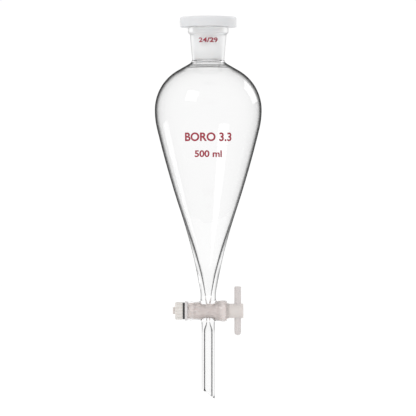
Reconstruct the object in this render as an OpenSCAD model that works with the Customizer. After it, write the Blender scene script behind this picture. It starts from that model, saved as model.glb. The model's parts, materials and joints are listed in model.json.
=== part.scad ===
// Pear-shaped separatory funnel, 500 ml, with a 24/29 socket, a plastic stopper and a PTFE stopcock.
// +Z points up the funnel, +X towards the stopcock's handle. The origin is on the funnel's axis,
// at the height where a 76 mm support ring carries the flank.

/* [Bulb] */
// Outer radius at the widest place
bulb_r = 47; // [46.5:0.5:47.5]
// Height of the widest place above the ring seat
wide_z = 44.4; // [44.1:0.1:45]
// Outer radius of curvature of the shoulder
shoulder_r = 40; // [39.8:0.1:40.3]
// Angle of the shoulder's arc, from the widest place up to the straight slope
shoulder_arc = 60; // [59:0.5:61]
// Wall thickness at the widest place
wall = 1.6; // [1.5:0.1:1.8]

/* [Flank, angles from the vertical] */
// Slope where the bulb's side turns into the long flank
flank_top = 13.5; // [13:0.1:14]
// Steepest slope of the flank
flank_mid = 18.3; // [18:0.1:18.6]
// Slope where the flank meets the throat
flank_low = 9.8; // [9.6:0.1:10]
// Steepest slope of the inner wall
inner_mid = 18.6; // [18.5:0.1:18.8]
// Slope of the inner wall down to the stopcock
inner_low = 8.3; // [8.2:0.1:8.5]

/* [Socket] */
// Diameter of the ground socket at its mouth
socket_d = 24; // [24:0.1:24.2]
// Length of the ground socket
socket_len = 29; // [28:0.5:30]
// Height of the rim above the ring seat
rim_z = 117; // [117:0.5:118]
// Outer diameter of the rim bead
rim_d = 35.6; // [35:0.1:36]
// Height of the rim bead
rim_h = 5.2; // [4.5:0.1:6]
// Outer diameter of the neck just above the shoulder
neck_d = 28.3; // [28:0.1:28.6]
// Radius of the hollow where the neck meets the shoulder
neck_fillet = 4.5; // [4:0.5:5]

/* [Stopper] */
// Diameter of the stopper's head
head_d = 50; // [44:0.5:52]
// Thickness of the stopper's head
head_h = 9; // [7:0.5:10]
// Wall thickness of the hollow shank
shank_wall = 1.6; // [1.2:0.1:2]

/* [Stopcock] */
// Height of the plug's axis
cock_z = -132.3; // [-133:0.1:-132]
// Radius of the plug's cone where the flow crosses it
plug_r = 5.6; // [5.4:0.1:5.8]
// Diameter of the bore through the plug
port_d = 2.5; // [2:0.1:3]
// Left end of the glass barrel
barrel_x0 = -18.1; // [-18.5:0.1:-17.9]
// Right end of the glass barrel
barrel_x1 = 16.4; // [16.2:0.1:16.6]
// Diameter of the plug's hub
hub_d = 12.8; // [12:0.1:13.5]
// Diameter of the handle bar
bar_d = 5.9; // [5.5:0.1:6.2]
// Length of the handle bar
bar_len = 43; // [38:0.5:46]

/* [Tension set] */
// Diameter of the plug's threaded end
thread_d = 7.1; // [6.9:0.1:7.3]
// Thread pitch
pitch = 1.5; // [1.5:0.05:1.6]
// Diameter of the PTFE washer
washer_d = 17.2; // [16.5:0.1:18]
// Diameter of the rubber ring
ring_d = 15; // [14.5:0.1:15.4]
// Diameter of the nut over its ribs
nut_d = 15.5; // [15:0.1:16]
// Number of grip grooves round the nut
nut_grooves = 16; // [12:1:20]

/* [Drain stem] */
// Outer diameter of the stem
stem_d = 11.3; // [11:0.1:11.6]
// Bore of the stem
stem_bore = 5.7; // [5.5:0.1:5.9]
// Height of the middle of the slanted tip
tip_z = -205.2; // [-210:0.1:-200]
// Angle of the tip's slant from the horizontal
tip_slant = 36.6; // [30:0.1:45]

/* [Hidden] */
$fn = 96;
taper = 0.05;          // a 1:10 cone gains this much radius per millimetre
fit_gap = 0.03;        // radial clearance in the two ground cones
face_gap = 0.05;       // play between flat faces of parts that turn or slide
slide_gap = 0.08;      // radial clearance over the thread's crests
cut = 1;               // how far a cutter runs past the face it cuts
side_r = 70;           // outer radii of curvature, from the widest place down
flank_r = 907;
low_flank_r = 477;
throat_r = 30;
inner_turn = 18;       // inner wall: slope where it starts to thicken
inner_turn_r = 900;
inner_straight = 23.5; // height of its straight stretch
inner_low_r = 250;
mouth_edge = 1;        // rounding under the socket, inside
bulb_end_z = -119;     // seal between the bulb's throat and the stopcock
stem_top_z = -150;     // seal between the stopcock and the stem
arm_flare = 0.8;       // how much the side arms widen into the barrel
lower_arm_z = -146.5;
passage_z = -141.5;    // where the passage under the plug starts to widen
barrel_r0 = 7.8;       // outer radius of the barrel at its two ends
barrel_r1 = 9;
bead_rise = 0.85;
left_bead_w = 4.6;
right_bead_w = 6.4;
plug_x0 = -17.3;       // small end of the plug's cone
collar_r = 6.9;
collar_x1 = 17.9;
hub_x1 = 30.9;
bar_x = 25.95;         // axis of the handle bar
plug_x1 = -31.2;       // free end of the thread
thread_depth = 0.45;
key_flat = 2.7;        // distance of the thread's flat from its axis
washer_x = -20.6;      // outer faces of the washer, the rubber ring and the nut
ring_x = -22.35;
nut_x = -29.2;

socket_end_z = rim_z - socket_len;
socket_end_r = socket_d / 2 - taper * socket_len;
inner_r = bulb_r - wall;
port_r = port_d / 2;

function last(v) = v[len(v) - 1];

// Points on an arc about c
function arc(c, r, a0, a1, n) = [for (i = [0:n]) let (a = a0 + (a1 - a0) * i / n) c + r * [cos(a), sin(a)]];

// Points down a wall from p, whose slope from the vertical turns from h0 to h1 on a radius r
function bend(p, h0, h1, r, n) =
    let (s = sign(h1 - h0))
    [for (i = [1:n]) let (h = h0 + (h1 - h0) * i / n)
        p - s * r * [cos(h0) - cos(h), sin(h) - sin(h0)]];

// Points on the arc from p to q that rises by `rise` to the left of the chord
function bulge(p, q, rise, n) =
    let (d = q - p, w = norm(d), r = (w * w / 4 + rise * rise) / (2 * rise),
         side = [-d[1], d[0]] / w, c = (p + q) / 2 + side * (rise - r), half = asin(w / 2 / r))
    [for (i = [0:n]) let (a = -half + 2 * half * i / n) c + r * (side * cos(a) + d / w * sin(a))];

// Outer wall of the glass, from the rim down to the throat
slope_start = [bulb_r - shoulder_r, wide_z] + shoulder_r * [cos(shoulder_arc), sin(shoulder_arc)];
fillet_foot_r = neck_d / 2 + neck_fillet * (1 - cos(shoulder_arc));
fillet_z = slope_start[1] + (slope_start[0] - fillet_foot_r) / tan(shoulder_arc)
         + neck_fillet * sin(shoulder_arc);
rim_bead = concat(
    arc([rim_d / 2 - 1.4, rim_z - 1.4], 1.4, 90, 0, 4),
    arc([rim_d / 2 - 1.4, rim_z - rim_h + 1.2], 1.4, 0, -60, 4),
    [[neck_d / 2 + 1.95, rim_z - rim_h - 0.9]]);
outer_top = concat(rim_bead,
    arc([neck_d / 2 + neck_fillet, fillet_z], neck_fillet, 180, 180 + shoulder_arc, 10),
    arc([bulb_r - shoulder_r, wide_z], shoulder_r, shoulder_arc, 0, 24));
outer_side = bend(last(outer_top), 0, flank_top, side_r, 6);
outer_flank = bend(last(outer_side), flank_top, flank_mid, flank_r, 8);
outer_low = bend(last(outer_flank), flank_mid, flank_low, low_flank_r, 12);
outer_throat = bend(last(outer_low), flank_low, 0, throat_r, 4);
throat_outer = last(outer_throat);

// Inner wall of the glass, from the rim down to the throat. It follows the outer wall's shoulder.
lip_turn = max(32, asin((fillet_z - socket_end_z + mouth_edge + 0.2) / (neck_fillet + wall)));
lip_z = fillet_z - (neck_fillet + wall) * sin(lip_turn);
inner_top = concat(
    [[socket_d / 2 + 0.5, rim_z], [socket_d / 2 - taper * 0.6, rim_z - 0.6], [socket_end_r, socket_end_z]],
    arc([socket_end_r + mouth_edge, lip_z + mouth_edge], mouth_edge, 180, 270, 6),
    arc([neck_d / 2 + neck_fillet, fillet_z], neck_fillet + wall, 180 + lip_turn, 180 + shoulder_arc, 8),
    arc([bulb_r - shoulder_r, wide_z], shoulder_r - wall, shoulder_arc, 0, 30));
inner_side = bend(last(inner_top), 0, flank_top, side_r - wall, 6);
inner_flank = bend(last(inner_side), flank_top, inner_turn, flank_r, 5);
inner_thick = bend(last(inner_flank), inner_turn, inner_mid, inner_turn_r, 5);
inner_line = last(inner_thick) - inner_straight * [tan(inner_mid), 1];
inner_curve = bend(inner_line, inner_mid, inner_low, inner_low_r, 12);
throat_inner_r = last(inner_curve)[0] - (last(inner_curve)[1] - bulb_end_z) * tan(inner_low);
glass_wall = concat(outer_top, outer_side, outer_flank, outer_low, outer_throat,
    [[throat_outer[0], bulb_end_z], [throat_inner_r, bulb_end_z]],
    [for (i = [len(inner_curve) - 1:-1:0]) inner_curve[i]], [inner_line],
    [for (i = [len(inner_thick) - 1:-1:0]) inner_thick[i]],
    [for (i = [len(inner_flank) - 1:-1:0]) inner_flank[i]],
    [for (i = [len(inner_side) - 1:-1:0]) inner_side[i]],
    [for (i = [len(inner_top) - 1:-1:0]) inner_top[i]]);

function plug_radius(x) = plug_r + taper * x;

// The funnel's glass wall between two heights
module glass_slice(z0, z1) {
    rotate_extrude() intersection() {
        polygon(glass_wall);
        translate([0, z0]) square([2 * bulb_r, z1 - z0]);
    }
}

// A solid turned about the stopcock's axis. Its points are [distance along X, radius].
module turned(points) {
    translate([0, 0, cock_z]) rotate([0, 90, 0]) rotate_extrude()
        polygon([for (p = points) [p[1], p[0]]]);
}

// A straight cone about the stopcock's axis
module cock_cone(x0, r0, x1, r1) {
    translate([x0, 0, cock_z]) rotate([0, 90, 0]) cylinder(h = x1 - x0, r1 = r0, r2 = r1);
}

module neck_socket() {
    color("whitesmoke") glass_slice(socket_end_z, rim_z + cut);
}

module bulb() {
    color("lightcyan") glass_slice(bulb_end_z, socket_end_z);
}

module barrel_blank() {
    turned(concat([[barrel_x0, 0]],
        bulge([barrel_x0, barrel_r0 - 0.5], [barrel_x0 + left_bead_w, barrel_r0 + 0.1], bead_rise, 6),
        bulge([barrel_x1 - right_bead_w, barrel_r1 - 0.2], [barrel_x1, barrel_r1 - 0.5], bead_rise, 8),
        [[barrel_x1, 0]]));
    // Upper side arm, sealed to the bulb's throat
    translate([0, 0, cock_z + plug_r]) cylinder(h = bulb_end_z - cock_z - plug_r,
        r1 = throat_outer[0] + arm_flare, r2 = throat_outer[0]);
    // Lower side arm, sealed to the stem
    translate([0, 0, lower_arm_z]) cylinder(h = cock_z - plug_r - lower_arm_z,
        r1 = stem_d / 2, r2 = stem_d / 2 + arm_flare);
    translate([0, 0, stem_top_z]) cylinder(h = lower_arm_z - stem_top_z, r = stem_d / 2);
}

module stopcock_barrel() {
    color("azure") difference() {
        barrel_blank();
        cock_cone(barrel_x0 - cut, plug_radius(barrel_x0 - cut), barrel_x1 + cut, plug_radius(barrel_x1 + cut));
        translate([0, 0, stem_top_z]) cylinder(h = bulb_end_z - stem_top_z, r = port_r);
        translate([0, 0, bulb_end_z - (throat_inner_r - port_r) / tan(inner_low)])
            cylinder(h = (throat_inner_r - port_r) / tan(inner_low), r1 = port_r, r2 = throat_inner_r);
        translate([0, 0, stem_top_z])
            cylinder(h = passage_z - stem_top_z, r1 = stem_bore / 2, r2 = port_r);
    }
}

module drain_stem() {
    tip_reach = stem_d * tan(tip_slant);
    color("lightcyan") difference() {
        translate([0, 0, tip_z - tip_reach]) cylinder(h = stem_top_z - tip_z + tip_reach, d = stem_d);
        translate([0, 0, tip_z - tip_reach - cut])
            cylinder(h = stem_top_z - tip_z + tip_reach + 2 * cut, d = stem_bore);
        translate([0, 0, tip_z]) rotate([0, tip_slant, 0]) translate([-stem_d, -stem_d, -2 * stem_d])
            cube(2 * stem_d);
    }
}

module stopper() {
    head_z = rim_z + 0.3;
    shank_top_r = socket_d / 2 - fit_gap + taper * 0.3;
    shank_end_r = socket_end_r - fit_gap + taper * 0.5;
    shank_end_z = socket_end_z + 0.5;
    color("gainsboro") rotate_extrude() polygon(concat(
        [[0, head_z + head_h]],
        arc([head_d / 2 - 1.8, head_z + head_h - 1.8], 1.8, 90, 0, 6),
        arc([head_d / 2 - 0.8, head_z + 0.8], 0.8, 0, -90, 3),
        [[shank_top_r, head_z], [shank_end_r, shank_end_z + 0.6], [shank_end_r - 0.6, shank_end_z],
         [shank_end_r - shank_wall, shank_end_z], [shank_top_r - shank_wall, rim_z - 2],
         [shank_top_r - shank_wall - 2, rim_z], [0, rim_z]]));
}

module thread_profile_end() {
    thread_x0 = plug_x0;
    ridges = floor((thread_x0 - plug_x1 - 1) / pitch);
    turned(concat([[plug_x1, 0], [plug_x1, thread_d / 2 - thread_depth]],
        [for (i = [0:ridges - 1]) let (x = plug_x1 + 0.3 + i * pitch)
            each [[x, thread_d / 2 - thread_depth], [x + pitch * 0.35, thread_d / 2],
                  [x + pitch * 0.5, thread_d / 2], [x + pitch * 0.85, thread_d / 2 - thread_depth]]],
        [[thread_x0, thread_d / 2 - thread_depth], [thread_x0, 0]]));
}

module plug() {
    color("whitesmoke") difference() {
        union() {
            turned([[plug_x0, 0], [plug_x0, plug_radius(plug_x0) - fit_gap - 0.4],
                    [plug_x0 + 0.4, plug_radius(plug_x0 + 0.4) - fit_gap],
                    [barrel_x1, plug_radius(barrel_x1) - fit_gap], [barrel_x1 + 0.2, collar_r],
                    [collar_x1, collar_r], [collar_x1, hub_d / 2 - 0.8], [collar_x1 + 0.8, hub_d / 2],
                    [hub_x1 - 0.6, hub_d / 2], [hub_x1, hub_d / 2 - 0.6], [hub_x1, 0]]);
            difference() {
                thread_profile_end();
                // Key flat, which stops the washer from turning on the plug
                translate([plug_x1 - cut, -thread_d, cock_z - thread_d - key_flat])
                    cube([plug_x0 - plug_x1 + cut, 2 * thread_d, thread_d]);
            }
        }
        // Bore for the flow
        translate([0, 0, cock_z - 2 * plug_r]) cylinder(h = 4 * plug_r, r = port_r);
        // Cross hole for the handle bar
        translate([bar_x, 0, cock_z - hub_d]) cylinder(h = 2 * hub_d, d = bar_d);
    }
}

module handle_bar() {
    z0 = cock_z - bar_len / 2;
    z1 = cock_z + bar_len / 2;
    flutes = 8;
    flute_r = 0.8;
    flute_depth = 0.22;
    grip_gap = hub_d / 2 + 1.2;
    end_gap = 0.6;
    color("gainsboro") translate([bar_x, 0, 0]) difference() {
        union() {
            rotate_extrude() polygon(concat([[0, z1]], arc([bar_d / 2 - 1, z1 - 1], 1, 90, 0, 4),
                [[bar_d / 2, z0 + bar_d / 2], [0, z0 + bar_d / 2]]));
            translate([0, 0, z0 + bar_d / 2]) sphere(d = bar_d);
        }
        // Shallow flutes along both arms, clear of the hub and of the rounded ends
        for (i = [0:flutes - 1])
            for (arm = [z0 + bar_d / 2 + end_gap, cock_z + grip_gap])
                rotate((i + 0.5) * 360 / flutes) translate([bar_d / 2 + flute_r - flute_depth, 0, arm])
                    cylinder(h = bar_len / 2 - bar_d / 2 - end_gap - grip_gap, r = flute_r);
    }
}

module washer() {
    x1 = barrel_x0 - face_gap;
    color("white") difference() {
        turned([[washer_x, 0], [washer_x, washer_d / 2 - 0.5], [washer_x + 0.5, washer_d / 2],
                [x1 - 0.5, washer_d / 2], [x1, washer_d / 2 - 0.5], [x1, 0]]);
        // D-shaped hole that fits the flat on the thread
        difference() {
            cock_cone(washer_x - cut, thread_d / 2 + slide_gap, x1 + cut, thread_d / 2 + slide_gap);
            translate([washer_x - 2 * cut, -thread_d, cock_z - thread_d - key_flat - slide_gap])
                cube([x1 - washer_x + 4 * cut, 2 * thread_d, thread_d]);
        }
    }
}

module rubber_ring() {
    bore_r = thread_d / 2 + 2 * slide_gap;
    color("dimgray") turned(concat([[ring_x, bore_r]],
        bulge([ring_x, ring_d / 2 - 0.5], [washer_x, ring_d / 2 - 0.5], 0.5, 6),
        [[washer_x, bore_r]]));
}

module nut() {
    x1 = ring_x - face_gap;
    bore_r = thread_d / 2 + slide_gap;
    groove_r = 0.7;
    color("whitesmoke") difference() {
        turned([[nut_x, bore_r + 0.4], [nut_x, nut_d / 2 - 0.8], [nut_x + 0.8, nut_d / 2],
                [x1 - 0.4, nut_d / 2], [x1, nut_d / 2 - 0.4], [x1, bore_r], [nut_x + 0.4, bore_r]]);
        for (i = [0:nut_grooves - 1])
            translate([nut_x - cut, 0, cock_z]) rotate([i * 360 / nut_grooves, 0, 0])
                translate([0, 0, nut_d / 2 + 0.2]) rotate([0, 90, 0])
                    cylinder(h = x1 - nut_x - 0.6 + cut, r = groove_r);
    }
}

neck_socket();
bulb();
stopcock_barrel();
drain_stem();
stopper();
plug();
handle_bar();
washer();
rubber_ring();
nut();
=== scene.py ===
"""Separatory funnel: the visual model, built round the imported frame.

The glass is one fused mesh that replaces the four CAD glass blanks. The walls of its neck and bulb are
read from the blanks' own outlines, and the rest is drawn here. Named lengths are in millimetres, apart
from those of the camera, the floor and the lamps, which are in Blender's metres.
"""
import json
import math

import bmesh
import bpy
import numpy as np
from mathutils import Matrix, Vector


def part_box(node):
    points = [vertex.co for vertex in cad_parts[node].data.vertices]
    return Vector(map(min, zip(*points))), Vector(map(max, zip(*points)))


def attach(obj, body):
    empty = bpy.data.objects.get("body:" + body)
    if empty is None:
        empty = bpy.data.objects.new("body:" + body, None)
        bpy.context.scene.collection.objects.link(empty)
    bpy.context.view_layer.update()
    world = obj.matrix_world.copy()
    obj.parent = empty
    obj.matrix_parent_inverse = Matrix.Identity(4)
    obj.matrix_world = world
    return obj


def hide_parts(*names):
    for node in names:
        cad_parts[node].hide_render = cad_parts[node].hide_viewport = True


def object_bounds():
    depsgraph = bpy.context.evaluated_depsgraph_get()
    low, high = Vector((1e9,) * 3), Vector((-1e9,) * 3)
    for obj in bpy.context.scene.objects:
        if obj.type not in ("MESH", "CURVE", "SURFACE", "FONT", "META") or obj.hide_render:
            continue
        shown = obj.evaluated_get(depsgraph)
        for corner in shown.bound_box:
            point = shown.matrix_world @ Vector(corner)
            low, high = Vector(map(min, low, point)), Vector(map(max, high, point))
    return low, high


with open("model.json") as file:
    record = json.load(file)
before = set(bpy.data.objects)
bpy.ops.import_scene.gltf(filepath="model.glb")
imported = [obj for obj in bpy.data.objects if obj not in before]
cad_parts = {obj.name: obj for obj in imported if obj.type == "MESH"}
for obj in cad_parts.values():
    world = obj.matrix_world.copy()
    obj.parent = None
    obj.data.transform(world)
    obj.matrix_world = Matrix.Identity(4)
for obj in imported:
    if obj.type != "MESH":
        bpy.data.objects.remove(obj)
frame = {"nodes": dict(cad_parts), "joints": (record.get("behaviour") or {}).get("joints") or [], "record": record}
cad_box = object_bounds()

MM = 0.001
JOINTS = {j["name"]: j for j in frame["joints"]}
MOUNTS = {m["name"]: m for m in frame["record"]["mounts"]}
COCK_Z = JOINTS["plug_turn"]["pos_m"][2] / MM     # height of the stopcock's axis
GLASS_NODES = ("neck_socket", "bulb", "stopcock_barrel", "drain_stem")


def box_mm(node):
    """The lowest and highest corner of a CAD node, in millimetres."""
    low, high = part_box(node)
    return np.array(low) / MM, np.array(high) / MM


# ---------------------------------------------------------------- camera, light, floor
VIEW_WIDTH = 0.3661     # what the picture spans at the funnel's axis
VIEW_X, VIEW_Z = -0.0002, -0.0418     # the place that the picture is centred on
CAMERA_FAR = 3.0
CAMERA_REACH = 50
SENSOR = 36.0           # its width, which Blender counts in millimetres
SKY_SHADE = [(0.0, 0.62), (0.5, 0.86), (0.8, 1.0), (1.0, 1.0)]     # from straight down to straight up
SKY_WHITE = 1.02
FLOOR_R = 8
FLOOR_DROP = 0.09       # below the funnel's tip
FLOOR_GLOW = 0.85
FLOOR_GREY = 0.2
LAMP_AIM = (0, 0, -0.04)     # the place that both lamps face

camera_data = bpy.data.cameras.new("camera")
camera_data.sensor_width = SENSOR
camera_data.lens = SENSOR * CAMERA_FAR / VIEW_WIDTH
camera_data.clip_end = CAMERA_REACH
camera = bpy.data.objects.new("camera", camera_data)
camera.location = (VIEW_X, -CAMERA_FAR, VIEW_Z)
camera.rotation_euler = (math.radians(90), 0, 0)
bpy.context.scene.collection.objects.link(camera)
bpy.context.scene.camera = camera

scene = bpy.context.scene
scene.view_settings.view_transform = "Standard"
scene.cycles.max_bounces = 32
scene.cycles.transmission_bounces = 32
scene.cycles.glossy_bounces = 16
scene.cycles.diffuse_bounces = 6
scene.cycles.transparent_max_bounces = 16


def shader(tree, kind, **inputs):
    """Adds a node. Each input is a value or another node's socket.

    A key is the input's name with _ for a space, in and a number for its place, or set_ and the name of
    one of the node's own settings.
    """
    made = tree.nodes.new(kind)
    for key, value in inputs.items():
        if key.startswith("set_"):
            setattr(made, key[4:], value)
            continue
        by_place = key.startswith("in") and key[2:].isdigit()
        name = int(key[2:]) if by_place else key.replace("_", " ")
        if isinstance(value, bpy.types.NodeSocket):
            tree.links.new(value, made.inputs[name])
        else:
            made.inputs[name].default_value = value
    return made


def ramp(tree, source, stops):
    """A colour ramp in grey: stops are (position, value)."""
    made = shader(tree, "ShaderNodeValToRGB", Fac=source)
    elements = made.color_ramp.elements
    while len(elements) < len(stops):
        elements.new(0.5)
    for element, (place, value) in zip(elements, stops):
        element.position = place
        element.color = (value, value, value, 1)
    return made.outputs["Color"]


def material(name):
    """A new material with an empty tree and its output node."""
    made = bpy.data.materials.new(name)
    made.use_nodes = True
    made.node_tree.nodes.clear()
    return made, made.node_tree, made.node_tree.nodes.new("ShaderNodeOutputMaterial")


def build_world():
    """Even white round the object, a little dimmer from below on solid surfaces."""
    world = bpy.data.worlds.new("studio")
    world.use_nodes = True
    tree = world.node_tree
    tree.nodes.clear()
    out = tree.nodes.new("ShaderNodeOutputWorld")
    place = shader(tree, "ShaderNodeTexCoord")
    parts = shader(tree, "ShaderNodeSeparateXYZ", Vector=place.outputs["Generated"])
    height = shader(tree, "ShaderNodeMapRange", Value=parts.outputs["Z"], From_Min=-1.0, From_Max=1.0)
    shade = ramp(tree, height.outputs["Result"], SKY_SHADE)
    path = shader(tree, "ShaderNodeLightPath")
    dim = shader(tree, "ShaderNodeBackground", Color=shade)
    white = shader(tree, "ShaderNodeBackground", Color=(1, 1, 1, 1), Strength=SKY_WHITE)
    mix = shader(tree, "ShaderNodeMixShader", Fac=path.outputs["Is Diffuse Ray"],
                 in1=white.outputs[0], in2=dim.outputs[0])
    tree.links.new(mix.outputs[0], out.inputs["Surface"])
    scene.world = world


def build_floor():
    """A wide pale floor below the funnel, so even that it runs into the backdrop."""
    made, tree, out = material("floor")
    glow = shader(tree, "ShaderNodeEmission", Color=(1, 1, 1, 1), Strength=FLOOR_GLOW)
    matt = shader(tree, "ShaderNodeBsdfDiffuse", Color=(FLOOR_GREY, FLOOR_GREY, FLOOR_GREY, 1))
    both = shader(tree, "ShaderNodeAddShader", in0=glow.outputs[0], in1=matt.outputs[0])
    tree.links.new(both.outputs[0], out.inputs["Surface"])
    bpy.ops.mesh.primitive_circle_add(vertices=96, radius=FLOOR_R, fill_type="NGON",
                                      location=(0, 0, cad_box[0][2] - FLOOR_DROP))
    floor = bpy.context.object
    floor.name = "floor"
    floor.data.materials.append(made)


def build_lamp(name, place, size, power):
    """A soft square lamp that faces the funnel."""
    data = bpy.data.lights.new(name, "AREA")
    data.energy = power
    data.size = size
    lamp = bpy.data.objects.new(name, data)
    lamp.location = place
    lamp.rotation_euler = (Vector(LAMP_AIM) - Vector(place)).to_track_quat("-Z", "Y").to_euler()
    scene.collection.objects.link(lamp)


build_world()
build_floor()
build_lamp("key_lamp", place=(-1.1, -1.3, 1.1), size=0.9, power=7)
build_lamp("rim_lamp", place=(1.3, 0.9, 0.7), size=0.8, power=4)


# ---------------------------------------------------------------- materials
GLASS_IOR = 1.473       # borosilicate 3.3
UNEVEN = 0.15           # how far a roughness varies either way, as a share of it
NOISE_LOW, NOISE_HIGH = 0.3, 0.7     # the stretch of a noise that a ramp spreads out


def varied(tree, source, low, high):
    """A grey that runs from low to high with a noise."""
    return ramp(tree, source.outputs["Fac"], [(NOISE_LOW, low), (NOISE_HIGH, high)])


def uneven(tree, source, rough):
    """A roughness that varies a little with a noise."""
    return varied(tree, source, rough * (1 - UNEVEN), rough * (1 + UNEVEN))


def blend_down(tree, height, upper, lower, span):
    """Mixes two colours by height: upper above the span, lower below it."""
    share = shader(tree, "ShaderNodeMapRange", Value=height,
                   From_Min=span[0] * MM, From_Max=span[1] * MM)
    return shader(tree, "ShaderNodeMix", set_data_type="RGBA", in0=share.outputs["Result"],
                  in6=lower, in7=upper).outputs[2]


def glass_material(name, edge, wall, reflection_shade=None, below=None, haze=0.0, ior=GLASS_IOR, grit=False):
    """Glass put together from a shader that bends light and one that mirrors it.

    The first ramp, edge, paints shade on what passes, the second, wall, on what is mirrored within the wall,
    and the third on what is mirrored outside; the third is as edge if it isn't given. Each is a list of
    stops: the share of the way from facing to grazing, and the brightness there. The ramps are painted
    shade that darkens the glass towards grazing, for the dark surroundings that real glass shows at its
    outlines. below is an edge, a wall and the two heights between which they take over.
    """
    made, tree, out = material(name)
    facing = shader(tree, "ShaderNodeLayerWeight", Blend=0.5).outputs["Facing"]
    geometry = shader(tree, "ShaderNodeNewGeometry")
    place = shader(tree, "ShaderNodeTexCoord")
    parts = shader(tree, "ShaderNodeSeparateXYZ", Vector=place.outputs["Object"])
    streaks = shader(tree, "ShaderNodeTexNoise", Vector=place.outputs["Object"], Scale=22.0, Detail=3.0)
    # Painted shade: what passes and what is mirrored within the wall darken towards grazing.
    passing, within = ramp(tree, facing, edge), ramp(tree, facing, wall)
    if below:
        low_edge, low_wall, span = below
        passing = blend_down(tree, parts.outputs["Z"], passing, ramp(tree, facing, low_edge), span)
        within = blend_down(tree, parts.outputs["Z"], within, ramp(tree, facing, low_wall), span)
    # Painted dark reflection: what is mirrored outside darkens towards grazing.
    outside = ramp(tree, facing, reflection_shade) if reflection_shade else passing
    mirror = shader(tree, "ShaderNodeMix", set_data_type="RGBA", in0=geometry.outputs["Backfacing"],
                    in6=outside, in7=within)
    fresnel = shader(tree, "ShaderNodeFresnel", IOR=ior)
    rough = uneven(tree, streaks, haze)
    bend = shader(tree, "ShaderNodeBsdfRefraction", Color=passing, IOR=ior, Roughness=rough)
    gloss = shader(tree, "ShaderNodeBsdfAnisotropic", Color=mirror.outputs[2], Roughness=rough)
    glass = shader(tree, "ShaderNodeMixShader", Fac=fresnel.outputs[0],
                   in1=bend.outputs[0], in2=gloss.outputs[0])
    relief = shader(tree, "ShaderNodeBump", Strength=0.02, Distance=0.0004,
                    Height=streaks.outputs["Fac"])
    if grit:
        grains = shader(tree, "ShaderNodeTexNoise", Vector=place.outputs["Object"],
                        Scale=2600.0, Detail=2.0)
        relief = shader(tree, "ShaderNodeBump", Strength=0.25, Distance=0.00004,
                        Height=grains.outputs["Fac"])
    for part in (fresnel, bend, gloss):
        tree.links.new(relief.outputs["Normal"], part.inputs["Normal"])
    tree.links.new(glass.outputs[0], out.inputs["Surface"])
    return made


# Painted shade: these ramps darken the glass towards grazing, for the dark surroundings that real glass bends and
# mirrors at its outlines. The wall ramps paint what is mirrored inside the wall dark, and the bulb's reflection
# ramp darkens what it mirrors outside. The ground joint's and the seat's ramps dim only slightly, and PALE_WALL
# leaves the wall's mirror white.
BULB_EDGE_SHADE = [(0.0, 1.0), (0.6, 0.998), (0.74, 0.985), (0.8, 0.94),
             (0.85, 0.75), (0.9, 0.35), (1.0, 0.03)]
BULB_REFLECTION_SHADE = [(0.0, 1.0), (0.68, 0.97), (0.8, 0.15), (1.0, 0.02)]
BULB_WALL_SHADE = [(0.26, 0.04), (0.3, 0.06), (0.345, 0.5), (0.4, 0.92), (0.48, 1.0)]
THROAT_EDGE_SHADE = [(0.0, 0.995), (0.4, 0.98), (0.5, 0.72), (0.65, 0.5), (0.85, 0.3), (1.0, 0.08)]
STEM_EDGE_SHADE = [(0.0, 0.995), (0.45, 0.985), (0.65, 0.9), (0.82, 0.7), (1.0, 0.4)]
STEM_WALL_SHADE = [(0.26, 0.1), (0.48, 0.12), (0.62, 0.95)]
SEAL_BAND_SHADE = [(0.0, 0.2), (0.5, 0.16), (1.0, 0.04)]
BARREL_EDGE_SHADE = [(0.0, 1.0), (0.6, 0.98), (0.85, 0.85), (1.0, 0.6)]
NECK_EDGE_SHADE = [(0.0, 0.99), (0.6, 0.97), (0.82, 0.8), (1.0, 0.5)]
GROUND_EDGE = [(0.0, 0.985), (1.0, 0.95)]
SEAT_EDGE = [(0.0, 1.0), (1.0, 0.99)]
PALE_WALL = [(0.26, 0.99), (1.0, 1.0)]
THROAT_SPAN = (-101, -89)     # heights over which the bulb's painted shade ramps give way to the throat's
STEM_SPAN = (-152, -148)      # heights over which the throat's painted shade ramps give way to the stem's

CLEAR = glass_material("clear_glass", BULB_EDGE_SHADE, BULB_WALL_SHADE, BULB_REFLECTION_SHADE,
                       below=(THROAT_EDGE_SHADE, BULB_WALL_SHADE, THROAT_SPAN))
STEM = glass_material("stem_glass", THROAT_EDGE_SHADE, STEM_WALL_SHADE, below=(STEM_EDGE_SHADE, STEM_WALL_SHADE, STEM_SPAN))
BARREL = glass_material("barrel_glass", BARREL_EDGE_SHADE, [(0.26, 0.98), (0.6, 1.0)], haze=0.02)
# A dark band of painted shade on the inner wall at the seal, for the light that the real seal's crease bends away;
# the glass has no crease there.
SEAL_SHADE = glass_material("seal_line_shade", SEAL_BAND_SHADE, BULB_WALL_SHADE, BULB_REFLECTION_SHADE)
SEAT = glass_material("ground_seat", SEAT_EDGE, SEAT_EDGE, haze=0.02, ior=1.0, grit=True)
NECK = glass_material("frosted_neck", NECK_EDGE_SHADE, PALE_WALL, haze=0.3, ior=1.12)
GROUND = glass_material("ground_joint", GROUND_EDGE, PALE_WALL, haze=0.7, ior=1.35, grit=True)
GLASS_LOOKS = (CLEAR, NECK, GROUND, BARREL, SEAT, STEM, SEAL_SHADE)


PLASTIC_GRAIN = 900.0
MOTTLED = 0.97          # the share of a plastic's colour that its mottling leaves at the darkest


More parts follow.
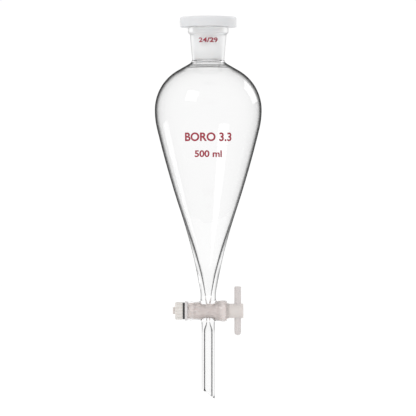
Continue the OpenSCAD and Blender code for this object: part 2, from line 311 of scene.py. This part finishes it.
def plastic_material(name, colour, rough, soft=0.15, spread=2.0):
    """A pale moulded or turned plastic: slightly translucent, with faint mottling and fine grain."""
    made, tree, out = material(name)
    place = shader(tree, "ShaderNodeTexCoord")
    cloud = shader(tree, "ShaderNodeTexNoise", Vector=place.outputs["Object"], Scale=140.0, Detail=4.0)
    fine = shader(tree, "ShaderNodeTexNoise", Vector=place.outputs["Object"], Scale=PLASTIC_GRAIN,
                  Detail=3.0)
    shade = varied(tree, cloud, MOTTLED, 1.0)
    base = shader(tree, "ShaderNodeMix", set_data_type="RGBA", set_blend_type="MULTIPLY", in0=1.0,
                  in6=(*colour, 1), in7=shade)
    dull = uneven(tree, fine, rough)
    relief = shader(tree, "ShaderNodeBump", Strength=0.05, Distance=0.0001, Height=fine.outputs["Fac"])
    body = shader(tree, "ShaderNodeBsdfPrincipled", Base_Color=base.outputs[2], Roughness=dull, IOR=1.4,
                  Normal=relief.outputs["Normal"], Subsurface_Weight=soft, Subsurface_Scale=spread * MM)
    body.inputs["Subsurface Radius"].default_value = (1.0, 0.9, 0.85)
    tree.links.new(body.outputs[0], out.inputs["Surface"])
    return made


# Painted light: the shank's colour is a lighter copy of the stopper's plastic, for the part seen inside the
# frosted neck.
LIT_SHANK = plastic_material("stopper_shank_lit", (0.93, 0.93, 0.93), rough=0.45, soft=0.3, spread=3.0)
# Painted light: the cone's colour is a much lighter copy of the plug's PTFE, for the part seen inside the glass
# barrel.
LIT_CONE = plastic_material("ptfe_cone_lit", (0.905, 0.82, 0.79), rough=0.35)
STOPPER = plastic_material("stopper_plastic", (0.685, 0.69, 0.70), rough=0.35, soft=0.3, spread=4.0)
PTFE = plastic_material("ptfe", (0.66, 0.615, 0.59), rough=0.45)
HANDLE = plastic_material("handle_plastic", (0.63, 0.59, 0.58), rough=0.4)
NUT = plastic_material("nut_plastic", (0.71, 0.68, 0.65), rough=0.45)
WASHER = plastic_material("washer_ptfe", (0.66, 0.635, 0.63), rough=0.5)


def rubber_material():
    """Matt black rubber with a fine grain."""
    made, tree, out = material("black_rubber")
    place = shader(tree, "ShaderNodeTexCoord")
    fine = shader(tree, "ShaderNodeTexNoise", Vector=place.outputs["Object"], Scale=700.0, Detail=4.0)
    shade = varied(tree, fine, 0.022, 0.04)
    dull = varied(tree, fine, 0.5, 0.7)
    relief = shader(tree, "ShaderNodeBump", Strength=0.15, Distance=0.00008, Height=fine.outputs["Fac"])
    body = shader(tree, "ShaderNodeBsdfPrincipled", Base_Color=shade, Roughness=dull,
                  Normal=relief.outputs["Normal"])
    tree.links.new(body.outputs[0], out.inputs["Surface"])
    return made


def enamel_material():
    """Fired red enamel, a little uneven in colour and gloss."""
    made, tree, out = material("red_enamel")
    place = shader(tree, "ShaderNodeTexCoord")
    fine = shader(tree, "ShaderNodeTexNoise", Vector=place.outputs["Object"], Scale=1500.0, Detail=3.0)
    tone = shader(tree, "ShaderNodeMix", set_data_type="RGBA", in0=fine.outputs["Fac"],
                  in6=(0.27, 0.012, 0.03, 1), in7=(0.36, 0.02, 0.045, 1))
    dull = varied(tree, fine, 0.35, 0.5)
    body = shader(tree, "ShaderNodeBsdfPrincipled", Base_Color=tone.outputs[2], Roughness=dull)
    tree.links.new(body.outputs[0], out.inputs["Surface"])
    return made


RUBBER = rubber_material()
ENAMEL = enamel_material()


# ---------------------------------------------------------------- mesh tools
FINE_TURN, PLUG_TURN = 144, 120      # facets round the glass and the stopper, and round the plug
SHARP = 35              # degrees between two faces from which their edge stays sharp
CORNER = 25             # degrees that an outline turns from which its corner is kept
CURVE_CUTS = 2          # stretches between two of an outline's points


def new_piece(name, vertices, faces, materials):
    """A mesh object from millimetre vertices, shaded smooth."""
    mesh = bpy.data.meshes.new(name)
    mesh.from_pydata((np.asarray(vertices, float) * MM).tolist(), [], faces)
    mesh.validate()
    for m in materials:
        mesh.materials.append(m)
    made = bpy.data.objects.new(name, mesh)
    scene.collection.objects.link(made)
    mesh.shade_smooth()
    return made


def ring_solid(name, rings, ends, materials=()):
    """A closed solid whose skin runs through rings of points, from one end point to the other."""
    rings = np.asarray(rings, float)
    count, turns = rings.shape[:2]
    vertices = np.concatenate([rings.reshape(-1, 3), np.array(ends, float)])
    faces = []
    for i in range(count - 1):
        for j in range(turns):
            k = (j + 1) % turns
            faces.append((i * turns + j, i * turns + k, (i + 1) * turns + k, (i + 1) * turns + j))
    for pole, ring in ((count * turns, 0), (count * turns + 1, count - 1)):
        for j in range(turns):
            a, b = ring * turns + j, ring * turns + (j + 1) % turns
            faces.append((pole, b, a) if ring == 0 else (pole, a, b))
    made = new_piece(name, vertices, faces, materials)
    work = bmesh.new()
    work.from_mesh(made.data)
    bmesh.ops.recalc_face_normals(work, faces=work.faces)
    work.to_mesh(made.data)
    work.free()
    return made


def about_cock(points):
    """Turns points made about the Z axis so that they lie about the stopcock's axis, Z along +X."""
    points = np.asarray(points, float)
    return np.stack([points[..., 2], points[..., 1], COCK_Z - points[..., 0]], axis=-1)


def lathe(name, profile, turns, materials=(), along_x=False):
    """A closed solid of revolution. profile runs from axis to axis, as (radius, height) points.

    With along_x it turns about the stopcock's axis, and heights run along +X.
    """
    angles = np.arange(turns) * 2 * math.pi / turns
    rings = np.array([[(r * math.cos(a), r * math.sin(a), h) for a in angles]
                      for r, h in profile if r > 0])
    ends = np.array([(0, 0, profile[0][1]), (0, 0, profile[-1][1])])
    if along_x:
        rings, ends = about_cock(rings), about_cock(ends)
    return ring_solid(name, rings, ends, materials)


def combine(target, tool, operation):
    """Applies a boolean with tool to target, and removes tool."""
    step = target.modifiers.new("boolean", "BOOLEAN")
    step.operation = operation
    step.solver = "MANIFOLD"
    step.object = tool
    graph = bpy.context.evaluated_depsgraph_get()
    result = bpy.data.meshes.new_from_object(target.evaluated_get(graph))
    target.modifiers.clear()
    target.data = result
    bpy.data.objects.remove(tool)


def arc(centre, radius, start, end, steps):
    """Points on an arc, angles in degrees from the first axis."""
    angles = [math.radians(start + (end - start) * i / steps) for i in range(steps + 1)]
    return [(centre[0] + radius * math.cos(a), centre[1] + radius * math.sin(a)) for a in angles]


def bulge(p, q, rise, steps):
    """Points on the arc from p to q that rises to the left of the chord."""
    p, q = np.array(p, float), np.array(q, float)
    width = np.linalg.norm(q - p)
    radius = (width * width / 4 + rise * rise) / (2 * rise)
    ahead = (q - p) / width
    side = np.array([-ahead[1], ahead[0]])
    centre = (p + q) / 2 + side * (rise - radius)
    half = math.asin(width / 2 / radius)
    turns = [-half + 2 * half * i / steps for i in range(steps + 1)]
    return [tuple(centre + radius * (side * math.cos(t) + ahead * math.sin(t))) for t in turns]


def smoothed(points):
    """Adds points between those given on a smooth curve that passes through them, but keeps corners."""
    points = [np.array(p, float) for p in points]
    steps = [b - a for a, b in zip(points, points[1:])]
    heading = [math.atan2(s[1], s[0]) for s in steps]
    turn = [abs((b - a + math.pi) % (2 * math.pi) - math.pi) for a, b in zip(heading, heading[1:])]
    sharp = {0, len(points) - 1} | {i + 1 for i, t in enumerate(turn) if t > math.radians(CORNER)}

    def tangent(i, step, spare):
        if i in sharp:
            return step
        before, after = steps[i - 1], steps[i]
        a, b = np.linalg.norm(before), np.linalg.norm(after)
        direction = before / a * b + after / b * a
        return direction / np.linalg.norm(direction) * spare

    result = [tuple(points[0])]
    for i, step in enumerate(steps):
        length = np.linalg.norm(step)
        t0, t1 = tangent(i, step, length), tangent(i + 1, step, length)
        for k in range(1, CURVE_CUTS + 1):
            t = k / CURVE_CUTS
            blend = ((2 * t ** 3 - 3 * t ** 2 + 1) * points[i] + (t ** 3 - 2 * t ** 2 + t) * t0
                     + (3 * t ** 2 - 2 * t ** 3) * points[i + 1] + (t ** 3 - t ** 2) * t1)
            result.append(tuple(blend))
    return result


# ---------------------------------------------------------------- the glass
def section_point(vertex):
    """A vertex as (radius, height) if it lies in the half plane of +X, or else None."""
    if abs(vertex.co.y) > 1e-7 or vertex.co.x <= 0:
        return None
    return round(vertex.co.x / MM, 4), round(vertex.co.z / MM, 4)


def walls(node):
    """The outer and the inner wall of a lathe-shaped CAD node, as (radius, height) points from the top.

    The mesh's edges in one half plane are linked up. Each chain that starts at the top is followed down,
    and it is a wall if it reaches the foot. The flat ends are left out.
    """
    mesh = frame["nodes"][node].data
    place = [section_point(v) for v in mesh.vertices]
    top, foot = max(p[1] for p in place if p), min(p[1] for p in place if p)
    links = {}
    for edge in mesh.edges:
        a, b = place[edge.vertices[0]], place[edge.vertices[1]]
        if a and b and a != b and not (a[1] == b[1] and a[1] in (top, foot)):
            links.setdefault(a, set()).add(b)
            links.setdefault(b, set()).add(a)
    chains = []
    for start in sorted((p for p in links if p[1] == top), key=lambda p: p[0]):
        chain, seen = [start], {start}
        while True:
            ahead = [p for p in links[chain[-1]] if p not in seen]
            if not ahead:
                break
            chain.append(min(ahead, key=lambda p: math.dist(p, chain[-1])))
            seen.add(chain[-1])
        if chain[-1][1] == foot:
            chains.append(chain)
    return chains[-1], chains[0]


neck_outer, neck_inner = walls("neck_socket")
bulb_outer, bulb_inner = walls("bulb")
OUTER_WALL = smoothed(neck_outer + bulb_outer[1:])
INNER_WALL = smoothed(neck_inner + bulb_inner[1:])
SOCKET_END = box_mm("bulb")[1][2]
THROAT = bulb_outer[-1]
STEM_R = MOUNTS["stem_outlet"]["dims"]["r_mm"]
BORE_R = MOUNTS["stem_bore"]["dims"]["r_mm"]
STEM_LOW, STEM_HIGH = box_mm("drain_stem")
BARREL_LOW, BARREL_HIGH = box_mm("stopcock_barrel")
PORT_R = 1.25           # the passage through the barrel's wall
PASSAGE_FLARE = 8.5     # height of the cone from that passage to the stem's bore
THROAT_ANGLE = 7        # degrees, half the angle at which the throat narrows to the passage
SEAT_R = 5.6            # radius of the plug's seat where the funnel's axis crosses it
SEAT_TAPER = 0.05       # what a seat's radius gains for each millimetre of its length
BARREL_R = (7.8, 9.0)   # outer radius of the barrel at its two ends
LEFT_BEAD, RIGHT_BEAD = 4.6, 6.4     # length of the swelling at each end
BEAD_RISE = 0.85
LIP_SET, LIP_R = 0.5, 0.4            # how far the rims lie inside the barrel's radius, and their rounding
BEAD_ENDS = (0.1, 0.2)  # what the taper has changed the radius by where each bead ends
SKIN_R = 7.0            # the barrel's outline is its outer side beyond this, and an end face within
BARREL_REACH = BARREL_R[1] + 1.2     # faces nearer the stopcock's axis than this are on the barrel
ARM_BURIED = 0.5        # from the seat down to where the lower arm starts, inside the barrel
ARM_STEP = 0.4          # spacing of the rings down the upper arm
ARM_STRAIGHT, ARM_RINGS = 5, 10      # rings down its straight stretch, and down its flare
ARM_FLARE = 1.0         # what both arms gain in radius where they meet the barrel
STEM_SHOULDER = 3.0     # from the stem's top up to where its flare begins
FILLET = 0.9            # reach of the blend between the side arms and the barrel
FILLET_BOX = (11, 14)   # the blend is made within this far of the stopcock's middle, along X and Z
FILLET_FROM = 6         # and farther than this from its axis
TIP_SLANT = 36.6        # degrees
TIP_ROUND = 0.45        # width of the flame-rounded edge at the tip
TOOL_OVER = 1.0         # how far a cutting tool runs past what it cuts
SEAL_SHADE_BAND = (81.9, 83.0)             # heights between which the inner wall is painted dark: painted shade for the light that the seal's crease bends away, though the glass has no crease
GROUND_R = 13.2         # the socket's ground inner wall lies within this
INNER_DEPTH = 0.8       # a face deeper than this below the outer wall is on the inner one
TOUCH = 0.1             # slack in telling where a face lies
HAIR = 0.01             # the same, for a face that would otherwise lie right on the limit


def outer_radius(z):
    """Outer radius of the funnel's wall at a height, both in millimetres."""
    heights = [p[1] for p in reversed(OUTER_WALL)]
    return np.interp(z, heights, [p[0] for p in reversed(OUTER_WALL)])


def seat_radius(x):
    """Radius of the plug's seat at a place along the stopcock's axis."""
    return SEAT_R + SEAT_TAPER * x


def barrel_profile():
    """The outer side of the barrel from left to right: a bead at each end and a taper between them."""
    (x0, r0), (x1, r1) = (BARREL_LOW[0], BARREL_R[0]), (BARREL_HIGH[0], BARREL_R[1])
    left = bulge((x0, r0 - LIP_SET), (x0 + LEFT_BEAD, r0 + BEAD_ENDS[0]), BEAD_RISE, 14)
    right = bulge((x1 - RIGHT_BEAD, r1 - BEAD_ENDS[1]), (x1, r1 - LIP_SET), BEAD_RISE, 18)
    body = np.linspace(left[-1], right[0], 49)[1:-1].tolist()
    near = [(x0, 0)] + arc((x0 + LIP_R, r0 - LIP_SET - LIP_R), LIP_R, 180, 100, 4)
    far = arc((x1 - LIP_R, r1 - LIP_SET - LIP_R), LIP_R, 80, 0, 4) + [(x1, 0)]
    return [(r, x) for x, r in near + left + body + right + far]


def arms_profile():
    """The outer side of both side arms and the stem, from the throat down past the tip."""
    radius, top = THROAT
    points = [(radius, top - ARM_STEP * i) for i in range(1, ARM_STRAIGHT + 1)]
    top -= ARM_STEP * ARM_STRAIGHT
    points += [(radius + ARM_FLARE * (i / ARM_RINGS) ** 2, top - ARM_STEP * i)
               for i in range(1, ARM_RINGS + 1)]
    low, foot = COCK_Z - SEAT_R - ARM_BURIED, STEM_HIGH[2] + STEM_SHOULDER
    tip = STEM_LOW[2] - 3 * TOOL_OVER
    points += [(STEM_R + ARM_FLARE * (1 - share) ** 2, low + (foot - low) * share)
               for share in np.linspace(0, 1, 17)]
    return points + [(STEM_R, z) for z in np.linspace(foot, tip, 41)[1:]]


def void_profile():
    """The space inside: socket, bulb, throat, passage and stem bore, from above the rim down."""
    mouth = (INNER_WALL[0][0] + TOOL_OVER, INNER_WALL[0][1] + TOOL_OVER)
    heights, radii = [p[1] for p in INNER_WALL[::-1]], [p[0] for p in INNER_WALL[::-1]]
    # points at the heights of the painted shade band, so that it ends sharply
    seal = [(float(np.interp(z, heights, radii)), z) for z in SEAL_SHADE_BAND]
    wall = sorted(INNER_WALL + seal, key=lambda p: -p[1])
    throat_r, throat_z = wall[-1]
    narrow_z = throat_z - (throat_r - PORT_R) / math.tan(math.radians(THROAT_ANGLE))
    passage = [(PORT_R, narrow_z), (PORT_R, COCK_Z)]
    cone = [(PORT_R + (BORE_R - PORT_R) * (1 - math.cos(math.pi * share)) / 2,
             STEM_HIGH[2] + PASSAGE_FLARE * (1 - share)) for share in np.linspace(0, 1, 13)]
    tip = STEM_LOW[2] - 4 * TOOL_OVER
    bore = [(BORE_R, z) for z in np.linspace(STEM_HIGH[2], tip, 31)[1:]]
    return [(0, mouth[1]), mouth] + wall + passage + cone + bore + [(0, tip)]


def fillet_arms(piece):
    """Rounds the creases where the side arms enter the barrel.

    The vertices round them are moved, in a few steps, onto a surface that blends the upright arms with
    the barrel that lies across them.
    """
    profile = np.array(arms_profile())
    heights, radii = profile[::-1, 1], profile[::-1, 0]
    along = np.array([(x, r) for r, x in barrel_profile() if r > SKIN_R])

    def field(p):
        column = np.hypot(p[:, 0], p[:, 1]) - np.interp(p[:, 2], heights, radii)
        row = np.hypot(p[:, 1], p[:, 2] - COCK_Z) - np.interp(p[:, 0], along[:, 0], along[:, 1])
        blend = np.clip(1 - np.abs(column - row) / FILLET, 0, 1)
        return np.minimum(column, row) - blend * blend * FILLET / 4

    mesh = piece.data
    flat = np.empty(len(mesh.vertices) * 3)
    mesh.vertices.foreach_get("co", flat)
    points = flat.reshape(-1, 3) / MM
    across, above = np.abs(points[:, 0]), points[:, 2] - COCK_Z
    near = ((across < FILLET_BOX[0]) & (np.abs(above) < FILLET_BOX[1])
            & (np.hypot(points[:, 1], above) > FILLET_FROM))
    moved = points[near]
    step = 1e-3
    for _ in range(6):
        slope = np.column_stack([(field(moved + step * axis) - field(moved - step * axis)) / (2 * step)
                                 for axis in np.eye(3)])
        steepness = np.maximum((slope ** 2).sum(1), 1e-6)
        moved = moved - (field(moved) / steepness)[:, None] * slope
    points[near] = moved
    mesh.vertices.foreach_set("co", (points * MM).ravel())
    mesh.update()


def build_glass():
    """One fused glass body: outer walls joined, then the space inside and the plug's seat cut out."""
    outer = OUTER_WALL + arms_profile()
    outer = [(0, outer[0][1])] + outer + [(0, outer[-1][1])]
    glass = lathe("glass_body", outer, FINE_TURN, GLASS_LOOKS)
    combine(glass, lathe("barrel_tool", barrel_profile(), FINE_TURN, along_x=True), "UNION")
    fillet_arms(glass)
    combine(glass, lathe("void_tool", void_profile(), FINE_TURN), "DIFFERENCE")
    x0, x1 = BARREL_LOW[0] - TOOL_OVER, BARREL_HIGH[0] + TOOL_OVER
    seat = [(seat_radius(x), x) for x in np.linspace(x0, x1, 40)]
    seat_tool = lathe("seat_tool", [(0, x0)] + seat + [(0, x1)], FINE_TURN, along_x=True)
    combine(glass, seat_tool, "DIFFERENCE")
    cut_tip(glass)
    return glass


def cut_tip(glass):
    """Cuts the stem's end on the slant and rounds its edges, as a flame does."""
    slant = math.radians(TIP_SLANT)
    tip_z = (STEM_LOW[2] + STEM_R * math.tan(slant)) * MM
    work = bmesh.new()
    work.from_mesh(glass.data)
    normal = Vector((-math.sin(slant), 0, -math.cos(slant)))
    cut = bmesh.ops.bisect_plane(work, geom=work.verts[:] + work.edges[:] + work.faces[:],
                                 plane_co=(0, 0, tip_z), plane_no=normal, clear_outer=True)
    rim = [e for e in cut["geom_cut"] if isinstance(e, bmesh.types.BMEdge)]
    bmesh.ops.bridge_loops(work, edges=rim)
    edges = [e for e in rim if e.is_valid]
    bmesh.ops.bevel(work, geom=edges, offset=TIP_ROUND * MM, segments=4, profile=0.6,
                    affect="EDGES", clamp_overlap=True)
    bmesh.ops.recalc_face_normals(work, faces=work.faces)
    work.to_mesh(glass.data)
    work.free()


def glass_look(x, y, z):
    """The material of the glass at a place."""
    from_axis, from_cock = math.hypot(x, y), math.hypot(y, z - COCK_Z)
    on_barrel = BARREL_LOW[0] - TOUCH < x < BARREL_HIGH[0] + TOUCH and from_cock < BARREL_REACH
    if z > SOCKET_END:
        return GROUND if from_axis < GROUND_R and z < OUTER_WALL[0][1] - TOUCH else NECK
    # the band of painted shade at the seal
    if SEAL_SHADE_BAND[0] < z < SEAL_SHADE_BAND[1] and from_axis < outer_radius(z) - INNER_DEPTH:
        return SEAL_SHADE
    if on_barrel and abs(from_cock - seat_radius(x)) < TOUCH:
        return SEAT
    if on_barrel:
        return BARREL
    return STEM if z < COCK_Z else CLEAR


def paint_glass(glass):
    """Gives each face of the glass the material of its place."""
    mesh = glass.data
    for face in mesh.polygons:
        face.material_index = GLASS_LOOKS.index(glass_look(*(face.center / MM)))
    mesh.shade_smooth()
    mesh.set_sharp_from_angle(angle=math.radians(SHARP))


glass = build_glass()
paint_glass(glass)
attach(glass, "glass")
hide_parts(*GLASS_NODES)


# ---------------------------------------------------------------- printed marks
INK_LIFT = 0.02         # from the glass to the enamel's underside
INK_THICK = 0.05
INK_GRID = 0.8          # spacing of the cuts that let flat letters follow the round wall
INK_BOLD = 0.3          # how far the letters' outlines are moved out before they are scaled


def flat_letters(name, text):
    """The text as a flat mesh, at any size."""
    data = bpy.data.curves.new(name, "FONT")
    data.body = text
    data.align_x = "CENTER"
    data.align_y = "CENTER"
    data.size = 10
    data.resolution_u = 6
    data.offset = INK_BOLD
    letters = bpy.data.objects.new(name + "_flat", data)
    scene.collection.objects.link(letters)
    graph = bpy.context.evaluated_depsgraph_get()
    mesh = bpy.data.meshes.new_from_object(letters.evaluated_get(graph))
    bpy.data.objects.remove(letters)
    return mesh


def fit_and_cut(work, width, height):
    """Scales flat letters about their middle to a size, and cuts them on a grid."""
    corners = np.array([v.co for v in work.verts])
    low, high = corners.min(0), corners.max(0)
    for v in work.verts:
        v.co.x = (v.co.x - (low[0] + high[0]) / 2) * width / (high[0] - low[0])
        v.co.y = (v.co.y - (low[1] + high[1]) / 2) * height / (high[1] - low[1])
    for axis, normal in enumerate((Vector((1, 0, 0)), Vector((0, 1, 0)))):
        low, high = min(v.co[axis] for v in work.verts), max(v.co[axis] for v in work.verts)
        for i in range(1, int((high - low) / INK_GRID) + 1):
            bmesh.ops.bisect_plane(work, geom=work.verts[:] + work.edges[:] + work.faces[:],
                                   plane_co=normal * (low + INK_GRID * i), plane_no=normal)


def wrap_round(work, z):
    """Gives flat letters their thickness and wraps them round the funnel's front, centred at a height."""
    lifted = bmesh.ops.extrude_face_region(work, geom=work.faces[:])
    for v in (g for g in lifted["geom"] if isinstance(g, bmesh.types.BMVert)):
        v.co.z = 1.0
    for v in work.verts:
        height = z + v.co.y
        radius = float(outer_radius(height)) + (INK_LIFT + INK_THICK if v.co.z > 0.5 else INK_LIFT)
        angle = v.co.x / radius
        v.co = Vector((radius * math.sin(angle), -radius * math.cos(angle), height)) * MM
    bmesh.ops.recalc_face_normals(work, faces=work.faces)


def printed_mark(name, text, width, height, z):
    """Red enamel lettering fired on the front of the funnel, wrapped round its wall."""
    mesh = flat_letters(name, text)
    work = bmesh.new()
    work.from_mesh(mesh)
    bmesh.ops.remove_doubles(work, verts=work.verts, dist=1e-4)
    fit_and_cut(work, width, height)
    wrap_round(work, z)
    work.to_mesh(mesh)
    work.free()
    mesh.materials.clear()
    mesh.materials.append(ENAMEL)
    mesh.name = name
    mark = bpy.data.objects.new(name, mesh)
    scene.collection.objects.link(mark)
    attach(mark, "glass")


printed_mark("joint_size_mark", "24/29", width=17.5, height=4.2, z=105.5)
printed_mark("glass_type_mark", "BORO 3.3", width=42, height=7.6, z=20.0)
printed_mark("capacity_mark", "500 ml", width=24, height=6.0, z=5.4)


# ---------------------------------------------------------------- stopper and plug
COUPLING = frame["record"]["behaviour"]["couplings"][0]
PITCH = 2 * math.pi / COUPLING["ratio"] / MM     # of the plug's thread
RUNNING_GAP = 0.03      # radial clearance in the ground cones
HEAD_GAP = 0.3          # from the socket's rim up to the stopper's head
HEAD_OVER, HEAD_UNDER = 1.8, 0.8     # rounding of the head's upper and lower edge
DISH_DEPTH = 0.5
DISH_EDGE, DISH_LIP = 5.6, 5.0       # from the head's edge to the dish's floor and to its lip
DISH_ROUND, LIP_ROUND = 0.25, 0.35
SHANK_WALL = 1.6
SHANK_SWELL = 0.02      # what the shank gains in radius from the seat up to the head
SHANK_FOOT, FOOT_MIDDLE = 0.6, 0.17  # rounding at the shank's foot, and how far in its middle point lies
SHANK_TOP, TOP_MIDDLE = 2.0, 0.6     # the same at the top of the shank's inside
HUB_R, HUB_CREASE, HUB_EDGE = 6.4, 0.8, 0.6     # and the rounding at its left and its right end
COLLAR_R, COLLAR_EDGE = 6.9, 0.2
COLLAR_START = (0.1, 0.3)            # from the barrel's end to where the collar's bevel starts and ends
CONE_X0, CONE_EDGE = -17.3, 0.4      # the cone's left end and its bevel
COLLAR_X1 = 17.9        # the collar's right end
THREAD_R, THREAD_DEPTH = 3.55, 0.45
THREAD_FOOT, THREAD_FLANK = 0.37, 0.2     # half a ridge's width at its foot, and its flank's, in pitches
THREAD_START, THREAD_RUN_IN = 0.2, 0.9    # where the ridge starts to rise, and how far it takes
THREAD_BURIED = 0.5     # how far the thread runs on into the cone
KEY_FLAT = 2.7          # from the stopcock's axis to the flat that keys the washer
DRILL_HALF = 8.0        # half the length of a drill, more than the plug's radius


def build_stopper():
    """The moulded stopper: a head with a shallow dish in its top, and a hollow shank open below."""
    low, high = box_mm("stopper")
    rim, end, top, head_r = OUTER_WALL[0][1], low[2], high[2], high[0]
    under, dish = rim + HEAD_GAP, top - DISH_DEPTH
    seat_r = INNER_WALL[1][0] - RUNNING_GAP
    foot_r = seat_r - (INNER_WALL[1][1] - end) * SEAT_TAPER
    inner_r = seat_r - SHANK_WALL
    floor = [(0, dish), (head_r - DISH_EDGE, dish)]
    head = arc((head_r - DISH_EDGE, dish + DISH_ROUND), DISH_ROUND, -90, 0, 3)
    head += arc((head_r - DISH_LIP, top - LIP_ROUND), LIP_ROUND, 180, 90, 4)
    head += arc((head_r - HEAD_OVER, top - HEAD_OVER), HEAD_OVER, 90, 0, 10)
    head += arc((head_r - HEAD_UNDER, under + HEAD_UNDER), HEAD_UNDER, 0, -90, 6)
    shank = [(seat_r + SHANK_SWELL, under), (foot_r + SEAT_TAPER * SHANK_FOOT, end + SHANK_FOOT),
             (foot_r - FOOT_MIDDLE, end + FOOT_MIDDLE), (foot_r - SHANK_FOOT, end)]
    inside = [(foot_r - SHANK_WALL, end), (inner_r, rim - SHANK_TOP),
              (inner_r - TOP_MIDDLE, rim - TOP_MIDDLE), (inner_r - SHANK_TOP, rim)]
    # The edge of the floor is the first point of the head too: the doubled ring keeps its shading flat.
    made = lathe("stopper_body", floor + head + shank + inside + [(0, rim)], FINE_TURN,
                 (STOPPER, LIT_SHANK))
    # The shank below the head takes the lighter copy of the plastic: painted light.
    for face in made.data.polygons:
        face.material_index = 1 if face.center.z / MM < under - TOUCH else 0
    return made


def build_thread(x0, x1):
    """The plug's right-handed screw thread, with the flat that keys the washer."""
    turns, steps = 72, 14
    angles = np.arange(turns) * 2 * math.pi / turns
    along = np.linspace(x0, x1, int((x1 - x0) / PITCH * steps))
    phase = (along[:, None] / PITCH - angles[None, :] / (2 * math.pi)) % 1
    ridge = np.clip((THREAD_FOOT - np.abs(phase - 0.5)) / THREAD_FLANK, 0, 1)
    run_in = np.clip((along - x0 - THREAD_START) / THREAD_RUN_IN, 0, 1)
    radius = THREAD_R - THREAD_DEPTH + THREAD_DEPTH * ridge * run_in[:, None]
    rings = about_cock(np.stack([radius * np.cos(angles), radius * np.sin(angles),
                                 np.broadcast_to(along[:, None], radius.shape)], axis=-1))
    rings[..., 2] = np.maximum(rings[..., 2], COCK_Z - KEY_FLAT)
    return ring_solid("thread_tool", rings, about_cock([(0, 0, x0), (0, 0, x1)]))


def drill(piece, radius, x, turns):
    """Cuts an upright round hole through a piece, at a place along the stopcock's axis."""
    low, high = COCK_Z - DRILL_HALF, COCK_Z + DRILL_HALF
    tool = lathe("drill_tool", [(0, low), (radius, low), (radius, high), (0, high)], turns)
    tool.data.transform(Matrix.Translation((x * MM, 0, 0)))
    combine(piece, tool, "DIFFERENCE")


def build_plug():
    """The turned PTFE plug: cone, collar, hub and threaded end in one piece, with its two cross holes."""
    low, high = box_mm("plug")
    bar_low, bar_high = box_mm("handle_bar")
    seat_end = BARREL_HIGH[0]
    cone = [(seat_radius(x) - RUNNING_GAP, x) for x in np.linspace(CONE_X0 + CONE_EDGE, seat_end, 30)]
    collar = [(COLLAR_R - COLLAR_EDGE, seat_end + COLLAR_START[0]), (COLLAR_R, seat_end + COLLAR_START[1]),
              (COLLAR_R, COLLAR_X1 - COLLAR_EDGE), (COLLAR_R - COLLAR_EDGE, COLLAR_X1)]
    hub = arc((COLLAR_X1 + HUB_CREASE, HUB_R - HUB_CREASE), HUB_CREASE, 180, 90, 6)
    hub += arc((high[0] - HUB_EDGE, HUB_R - HUB_EDGE), HUB_EDGE, 90, 0, 6)
    profile = [(0, CONE_X0), (cone[0][0] - CONE_EDGE, CONE_X0)] + cone + collar
    profile += [(r, x) for x, r in hub] + [(0, high[0])]
    plug = lathe("plug_body", profile, PLUG_TURN, (PTFE, LIT_CONE), along_x=True)
    combine(plug, build_thread(low[0], CONE_X0 + THREAD_BURIED), "UNION")
    drill(plug, PORT_R, 0, 48)
    drill(plug, (bar_high[0] - bar_low[0]) / 2, (bar_low[0] + bar_high[0]) / 2, 96)
    # The cone inside the barrel takes the lighter copy of the PTFE: painted light.
    for face in plug.data.polygons:
        face.material_index = 1 if CONE_X0 - HAIR < face.center.x / MM < seat_end else 0
    return plug


for made, body, node, slot in ((build_stopper(), "stopper", "stopper", "stopper_plastic"),
                               (build_plug(), "plug", "plug", "ptfe")):
    made.data.shade_smooth()
    made.data.set_sharp_from_angle(angle=math.radians(SHARP))
    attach(made, body)
    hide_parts(node)


# ---------------------------------------------------------------- CAD nodes with better materials
def dress(node, finish):
    """Gives a CAD node's slots one finish."""
    for slot in frame["nodes"][node].material_slots:
        slot.material = finish


for node, finish in (("handle_bar", HANDLE), ("washer", WASHER), ("rubber_ring", RUBBER), ("nut", NUT)):
    dress(node, finish)
